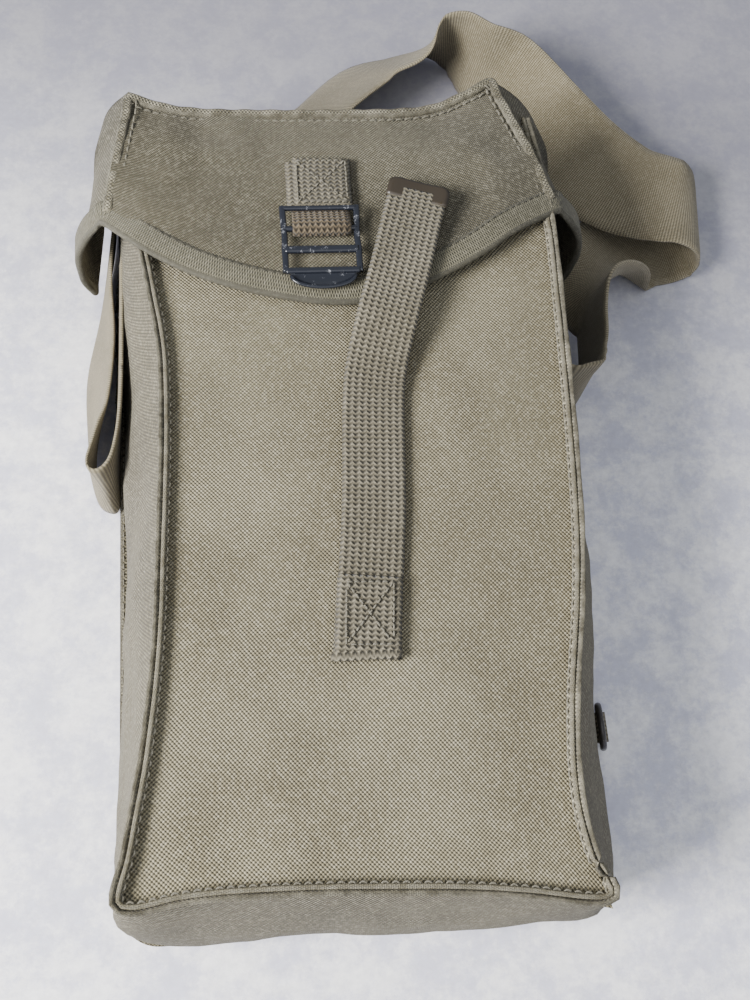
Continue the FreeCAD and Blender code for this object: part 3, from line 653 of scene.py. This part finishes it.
def ear_surface(seam, side, share, drop):
    """A point of an ear: 0 to 1 from fold to free edge, and from the seam down to its lower edge."""
    top = seam[int(min(share * 39, 39))]
    floor = 24 + 34 * (1 - ease((share - 0.22) / 0.16))
    low = Vector((side * (109.5 + 4.5 * share - 5 * (1 - ease((share - 0.22) / 0.16))),
                  FOLD - 56 * share, floor))
    point = top.lerp(low, drop)
    swell = (6.0 + 3.0 * share) * 4 * drop * (1 - drop)
    swell += rumple(point, 22.0, 1.6) * math.sin(math.pi * drop)
    point.x += side * swell
    point.z += 3.0 * math.sin(math.pi * min(1, drop * 2)) * 0.5
    return point


def make_flap_strip():
    """Long wall of the flap: one ear, across the top at the fold, and the other ear."""
    parts = []
    for seam, side in ((flap_left, -1), (flap_right, 1)):
        rows = [[ear_surface(seam, side, column / 30, row / 26) for column in range(31)]
                for row in range(27)]
        parts.append(grid(rows, flip=side < 0))
    rows = []
    for row in range(25):
        drop = row / 24
        line = []
        for column in range(61):
            top = flap_top[int(column / 60 * (EDGE_POINTS - 1))]
            height = 2.4 + (top.z - 2.4) * (1 - drop)
            if height > 57:
                left = ear_surface(flap_left, -1, 0, min(1, (95.8 - height) / 38)).x
                right = ear_surface(flap_right, 1, 0, min(1, (96.4 - height) / 38)).x
            else:
                left, right = -95.5, 95.5
            x = left + (right - left) * column / 60
            place = top.y + (FOLD - 0.6 - top.y) * ease(drop * 2.2)
            bulge = rumple((x, 500, height), 26.0, 1.6) * math.sin(math.pi * drop)
            line.append(Vector((x, place + bulge, height)))
        rows.append(line)
    parts.append(grid(rows, flip=True))
    return finish_piece("flap_strip", *joined(parts), "flap", "canvas", SHADED_FLAP_CLOTH, ["flap_strip"],
                        thick=1.4)


def make_flap_hem():
    """Folded binding along the flap's edge, from ear to ear."""
    left = [ear_surface(flap_left, -1, 1, drop / 14) for drop in range(14, 0, -1)]
    right = [ear_surface(flap_right, 1, 1, drop / 14) for drop in range(1, 15)]
    path = resample(smooth(left + hem_line[::6] + [hem_line[-1]] + right, 6), HEM_POINTS)
    side, up = [], []
    for index in range(HEM_POINTS):
        run = (path[min(index + 2, HEM_POINTS - 1)] - path[max(index - 2, 0)]).normalized()
        flat = ease((path[index].z - 66) / 28)
        rise = Vector((math.copysign(1 - flat, path[index].x), 0, flat + 0.05)).normalized()
        way = rise.cross(run).normalized()
        side.append(way if way.y > 0 else -way)
        up.append(rise)
    line = [point + way * 4.6 for point, way in zip(path, side)]
    band = sweep(line, lambda i: side[i], lambda i: up[i], rounded(12.4, 3.4, corner=0.48))
    coords = [(u * 2.0, v) for u, v in band[2]]
    wear = [0.35 if index % 16 > 7 else 0.12 for index in range(len(band[0]))]
    finish_piece("flap_hem", band[0], band[1], coords, "flap", "binding", BINDING, ["flap_hem"], wear=wear)
    inner = [point + way * 9.0 + rise * 1.75 for point, way, rise in zip(path, side, up)][48:212]

    def toward(middle):
        near = min(range(0, HEM_POINTS, 4), key=lambda i: (path[i] - middle).length_squared)
        return up[near]

    row = stitches(inner, toward, pitch=3.6, size=2.7, radius=0.3, lift=-0.05)
    finish_piece("flap_hem_stitches", *row, "flap", "stitching", BINDING, ["flap_hem_thread"])


# ---- webbing and metal on the front

def flat_ribbon(points, width, thick, skew=(1, 0, 0), across=8, crown=0.0, steps=6):
    """A short band of webbing with one way across it all along."""
    line = smooth(points, steps)
    return ribbon([(point, Vector(skew)) for point in line], width, thick, across, crown)


def fray(points, count, size, seed):
    """Loose ends of thread at a cut edge."""
    parts = []
    for index in range(count):
        share = index / (count - 1)
        start = points[0].lerp(points[1], share)
        turn = noise.noise(Vector((index * 1.7, seed, 0.3))) * 2.2
        out = Vector((math.cos(turn), math.sin(turn) - 0.2, 0.25 * noise.noise(Vector((seed, index, 1)))))
        way = points[2] * out.x + points[3] * out.y
        line = [start + way * (size * step / 3) + Vector((0, 0, out.z * step)) for step in range(4)]
        parts.append(sweep(line, Vector((0, 0, 1)).cross(way).normalized(), Vector((0, 0, 1)),
                           [(0.16, 0), (-0.08, 0.14), (-0.08, -0.14)]))
    return joined(parts)


def patch_stitches(a, b, c, d):
    """Stitching round the four corners of a sewn patch and across both its diagonals."""
    return joined([stitches([first, second], (0, 0, 1), pitch=2.7, size=2.1)
                   for first, second in ((a, b), (b, c), (c, d), (d, a), (a, c), (b, d))])


def make_tab():
    """Two layers of webbing sewn on the flap, and the loop that holds the buckle."""
    lower = flat_ribbon([(-10.7, 135.4, 97.5), (-10.7, 124, 97.5), (-10.7, 111.6, 97.5)], 24.8, 1.7,
                        crown=0.2)
    upper = flat_ribbon([(-7.4, 135.8, 99.3), (-7.8, 124, 99.35), (-7.7, 111.8, 99.2)], 24.6, 1.7, crown=0.2)
    loose = fray([Vector((4.4, 136, 99)), Vector((4.6, 112.5, 99)), Vector((1, 0, 0)), Vector((0, 1, 0))],
                 26, 1.6, 4.0)
    parts = joined([lower, upper, loose])
    finish_piece("buckle_tab", *parts, "flap", "webbing", WEBBING, ["buckle_tab"])
    corners = [Vector((-18.4, 134, 100.5)), Vector((2.8, 134.3, 100.5)),
               Vector((2.8, 113.2, 100.4)), Vector((-18.4, 113.2, 100.4))]
    finish_piece("buckle_tab_stitches", *patch_stitches(*corners), "flap", "stitching", COTTON,
                 ["buckle_tab_thread"])
    path = [(-9.2, 110.9, 97.9), (-9.2, 104, 97.9), (-9.2, 100.4, 97.8), (-9.2, 98.1, 98.7),
            (-9.2, 97.5, 100.2), (-9.2, 98.3, 101.8), (-9.2, 100.6, 102.5), (-9.2, 104, 101.6),
            (-9.2, 107.6, 99.9), (-9.2, 110.9, 99.5)]
    loop = flat_ribbon(path, 24.6, 1.5, across=10, steps=4)
    finish_piece("buckle_tab_loop", *loop, "buckle_swinging", "webbing", LOOP_WEB, ["buckle_tab_loop"])


def bar(points, wide, high, side, steps=5):
    """A rounded metal bar along a smooth line."""
    path = smooth(points, steps)
    up = [Vector(side).cross((path[min(i + 1, len(path) - 1)] - path[max(i - 1, 0)])).normalized()
          for i in range(len(path))]
    return sweep(path, Vector(side), lambda i: up[i], rounded(wide, high, 4))


def make_buckle():
    """Stamped ladder buckle: two bent side members, four bars and a curved thumb lip."""
    left, right, level = -25.2, 5.6, 100.2
    parts = []
    for x, turn in ((left, -1), (right, 1)):
        parts.append(bar([(x + turn * 0.3, 110, 101.7), (x + turn * 0.2, 106, 101.6), (x, 101, level + 0.3),
                          (x - turn * 0.2, 95, level), (x + turn * 0.1, 90.4, level + 0.2), (x, 86, level),
                          (x, 79, level)], 2.7, 2.1, (1, 0, 0)))
    for y, z, wide, high in ((109.1, 101.8, 2.2, 2.0), (100, 100.18, 2.6, 2.6), (89.6, 100.5, 3.4, 2.2),
                             (79.6, 100.3, 2.8, 2.1)):
        parts.append(bar([(left, y, z), (-18, y, z), (-9.8, y, z), (-2, y, z), (right, y, z)],
                         wide, high, (0, 1, 0)))
    rows = []
    for row in range(9):
        share = row / 8
        line = []
        for column in range(25):
            across = column / 24 * 2 - 1
            reach = 7.4 * math.sqrt(max(0.0, 1 - (across * 0.985) ** 2)) ** 0.8
            line.append(Vector((-9.8 + across * 13.6, 78.6 - reach * share,
                                100.2 - 0.5 * math.sin(math.pi * share) + 1.5 * share ** 2)))
        rows.append(line)
    top = grid(rows)
    under = grid([[point - Vector((0, 0, 1.3)) for point in row] for row in rows], flip=True)
    edge = bar([point - Vector((0, 0, 0.65)) for point in rows[-1]], 1.3, 1.5, (0, 0, 1), steps=1)
    parts += [top, under, edge]
    finish_piece("buckle", *joined(parts), "buckle_swinging", "buckle_black", BLACK, ["buckle"])


def make_closing_strap():
    """Sewn root, free strap and the metal tip folded over its end."""
    line = smooth(CLOSING, 9)
    ways = []
    for index in range(len(line)):
        run = line[min(index + 1, len(line) - 1)] - line[max(index - 1, 0)]
        ways.append(Vector((run.y, -run.x, 0)).normalized())
    stations = list(zip(line, ways))
    strap = ribbon(stations, 25.2, 1.9, across=12, crown=0.25)
    finish_piece("closing_strap", *strap, "strap_free", "webbing", WEBBING, ["closing_strap"],
                 wear=[0.12] * len(strap[0]))
    end, way = stations[-1]
    run = (line[-1] - line[-4]).normalized()
    path = [(end + run * along, way) for along, share in TIP_SHAPE]
    cap = ribbon(path, 26.6, 3.2, across=14, crown=1.1)
    around = len(cap[0]) // len(path)
    for index, point in enumerate(cap[0]):
        middle = path[index // around][0]
        cap[0][index] = middle + (point - middle) * TIP_SHAPE[index // around][1]
    finish_piece("strap_tip", *cap, "strap_free", "tip_brass", BRASS, ["strap_tip"])
    lower = flat_ribbon([(-3.2, -81.5, 89.0), (-1.5, -68, 89.0), (0.6, -50.2, 89.0)], 25.2, 1.8)
    upper = flat_ribbon([(-2.6, -80.5, 90.9), (-1.3, -68, 90.9), (0.8, -50.1, 90.5)], 25.0, 1.9, crown=0.2)
    fold = flat_ribbon([(-3.1, -79.5, 90.0), (-3.1, -80.8, 90.3), (-3.1, -82.0, 89.9)], 27.0, 3.4)
    loose = fray([Vector((-16, -81.6, 90)), Vector((10.5, -81.8, 90)), Vector((0, -1, 0)), Vector((1, 0, 0))],
                 30, 1.5, 9.0)
    sewn = joined([lower, upper, fold, loose])
    finish_piece("closing_strap_end", *sewn, "bag", "webbing", WEBBING, ["closing_strap_end"],
                 wear=[0.3] * len(sewn[0]))
    corners = [Vector((-8.8, -52.4, 91.9)), Vector((9.2, -53.2, 91.9)),
               Vector((7.2, -77.4, 92.1)), Vector((-10.6, -76.6, 92.1))]
    finish_piece("closing_strap_stitches", *patch_stitches(*corners), "bag", "stitching", COTTON,
                 ["closing_strap_thread"])


def make_shoulder_strap():
    """The free strap, which the open flap presses down, its two sewn ends and their stitching."""
    middles = smooth([middle for middle, way in SHOULDER], LINE_STEPS)
    ways = smooth([way for middle, way in SHOULDER], LINE_STEPS)
    stations = []
    for index, (middle, way) in enumerate(zip(middles, ways)):
        run = (middles[min(index + 1, len(middles) - 1)] - middles[max(index - 1, 0)]).normalized()
        side = (way - run * way.dot(run)).normalized() * (WEB / 2)
        through = abs(run.cross(side).normalized().z)
        lowest = middle.z - abs(side.z) - through
        stations.append((middle + Vector((0, 0, max(0.0, 0.15 - lowest))), way))
    sewn_steps = 2 * LINE_STEPS
    free = stations[sewn_steps:-sewn_steps]
    band = ribbon(free, WEB, 2.0, across=14)
    around = len(band[0]) // len(free)
    selvedge = (0, around // 2 - 1, around // 2, around - 1)
    edge = [0.5 if index % around in selvedge else 0.03 for index in range(len(band[0]))]
    strap = finish_piece("shoulder_strap", *band, "bag", "tan_webbing", TAN, ["shoulder_strap"], wear=edge)
    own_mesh(strap)
    ends = [ribbon(part, WEB, 2.0, across=10)
            for part in (stations[:sewn_steps + 1], stations[-sewn_steps - 1:])]
    sewn = finish_piece("shoulder_strap_ends", *joined(ends), "bag", "tan_webbing", TAN, ["shoulder_strap"])
    rows = []
    for side in (-1, 1):
        for y in (66, 91, 116):
            low = Vector((side * 106.4, y, 8))
            high = Vector((side * 98.6, y, 53))
            rows.append(stitches([low, high], (side, 0, 0.15), pitch=3.4, size=2.6, lift=-0.2))
    finish_piece("shoulder_strap_stitches", *joined(rows), "bag", "stitching", COTTON,
                 ["shoulder_strap_thread"])


# ---- put together

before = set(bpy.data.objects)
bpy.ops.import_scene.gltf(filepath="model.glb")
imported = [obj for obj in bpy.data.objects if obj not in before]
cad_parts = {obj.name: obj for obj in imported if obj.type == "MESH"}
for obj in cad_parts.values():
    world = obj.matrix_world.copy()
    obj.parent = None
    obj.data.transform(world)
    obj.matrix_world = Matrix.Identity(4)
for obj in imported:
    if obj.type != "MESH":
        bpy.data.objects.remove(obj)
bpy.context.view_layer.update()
make_gusset()
make_front_panel()
make_body_stitches()
make_flap_front()
make_flap_strip()
make_flap_hem()
make_tab()
make_buckle()
make_closing_strap()
make_shoulder_strap()
for node, finish in (("back_panel", SHADED_OLIVE_PLAIN), ("ring_tab", WEB_PLAIN), ("carry_ring", STEEL)):
    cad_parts[node].data.materials.clear()
    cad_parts[node].data.materials.append(finish)


# ---- table, light and camera

def make_floor():
    """Pale stone tabletop with soft mottling, and painted shade that darkens its far end where the light
    falls off.
    """
    nodes = Nodes("pale_stone")
    across, along = nodes.place(False)
    clouds = nodes.ramp(nodes.noise(34.0, 10.0, 0.78), 0.40, 0.60)
    grain = nodes.ramp(nodes.noise(240.0, 4.0, 0.7), 0.3, 0.72)
    base = nodes.mix(clouds, (0.66, 0.67, 0.79, 1), (0.98, 0.98, 1.0, 1))
    grainy = nodes.mix(nodes.math("MULTIPLY", grain, 0.3), base, (0.42, 0.41, 0.48, 1))
    # Painted shade: the tabletop's colour is darkened towards its far end, standing in for the light falling
    # off there.
    reach = nodes.math("ADD", along, nodes.math("MULTIPLY", across, 0.25))
    painted_far_shade = nodes.math("MULTIPLY", nodes.ramp(reach, 0.0, 0.30), 0.8)
    nodes.link(nodes.mix(painted_far_shade, grainy, (0.17, 0.165, 0.20, 1)), nodes.shader.inputs["Base Color"])
    nodes.shader.inputs["Roughness"].default_value = 0.75
    mesh = bpy.data.meshes.new("table")
    mesh.from_pydata([(-2, -2, 0), (2, -2, 0), (2, 2, 0), (-2, 2, 0)], [], [(0, 1, 2, 3)])
    mesh.materials.append(nodes.material)
    table = bpy.data.objects.new("table", mesh)
    bpy.context.scene.collection.objects.link(table)


def add_light(name, place, size, power, colour, target=(0, 0, 0.05)):
    """A square lamp that faces its target."""
    data = bpy.data.lights.new(name, "AREA")
    data.size = size
    data.energy = power
    data.color = colour
    lamp = bpy.data.objects.new(name, data)
    lamp.location = place
    lamp.rotation_euler = (Vector(target) - Vector(place)).to_track_quat("-Z", "Y").to_euler()
    bpy.context.scene.collection.objects.link(lamp)


def make_room():
    """Even light from all round."""
    world = bpy.data.worlds.new("room")
    world.use_nodes = True
    background = world.node_tree.nodes["Background"]
    background.inputs[0].default_value = ROOM_GREY
    background.inputs[1].default_value = ROOM_STRENGTH
    bpy.context.scene.world = world


def make_camera():
    """Camera over the lower half of the bag, tipped towards its flap."""
    lens = bpy.data.cameras.new("camera")
    lens.lens = 39.96
    lens.sensor_width = 36.0
    camera = bpy.data.objects.new("camera", lens)
    camera.location = CAMERA_PLACE
    camera.rotation_euler = [math.radians(turn) for turn in CAMERA_TURN]
    bpy.context.scene.collection.objects.link(camera)
    bpy.context.scene.camera = camera


make_floor()
add_light("window", (-0.80, -0.30, 0.74), 0.45, 36.0, (1.0, 0.98, 0.95), target=(-0.08, -0.05, 0.05))
add_light("fill", (0.2, -0.6, 1.5), 1.6, 7.5, (0.96, 0.97, 1.0))
make_room()
make_camera()
